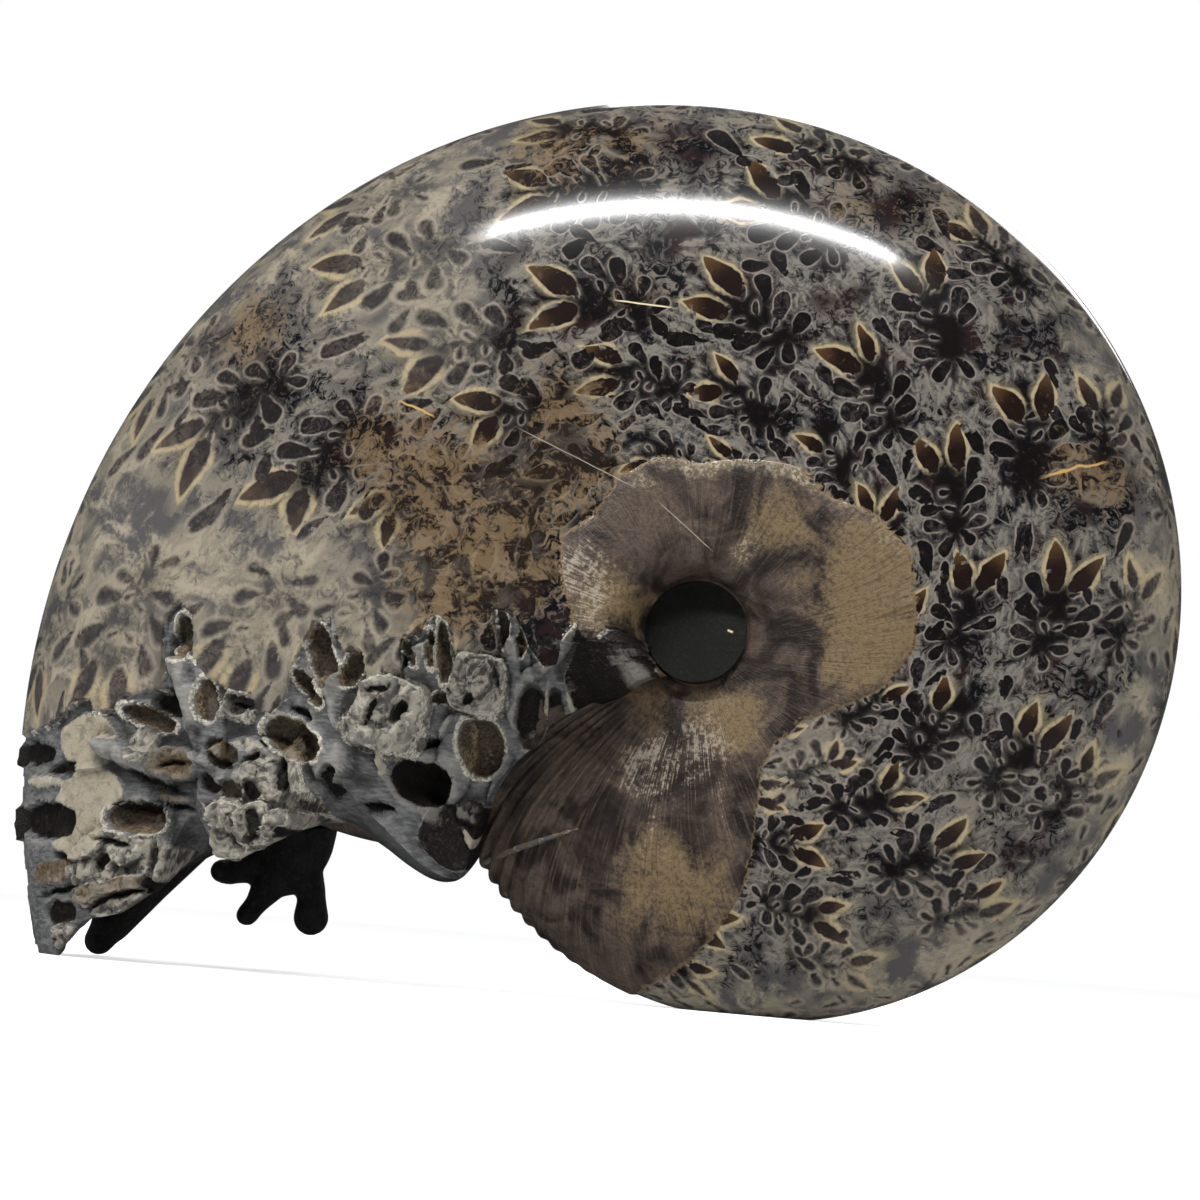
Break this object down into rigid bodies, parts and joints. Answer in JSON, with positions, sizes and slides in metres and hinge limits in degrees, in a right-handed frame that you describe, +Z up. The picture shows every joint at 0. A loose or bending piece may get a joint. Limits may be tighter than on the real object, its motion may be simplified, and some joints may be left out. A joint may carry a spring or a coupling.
{
  "type": "cleoniceras ammonite fossil",
  "caption": "Large polished ammonite fossil, broken off at a fluted septum, that stands upright on its rim and broken end.",
  "frame": {"origin": "bottom centre of the fossil's box, on the ground that it stands on", "axes": "+X runs the long way, from the broken end to the other side of the coil, +Y is the coiling axis and points to the far flank, +Z is up"},
  "size_m": [0.189, 0.0646, 0.1479],
  "materials": {
    "polished_fossil": "polished calcite and chamber stone, dark brown to black with cream suture lines, with matt brown shell and rough grey septum where it is unpolished"
  },
  "bodies": {
    "root": {"ammonite": "polished_fossil"}
  },
  "joints": []
}
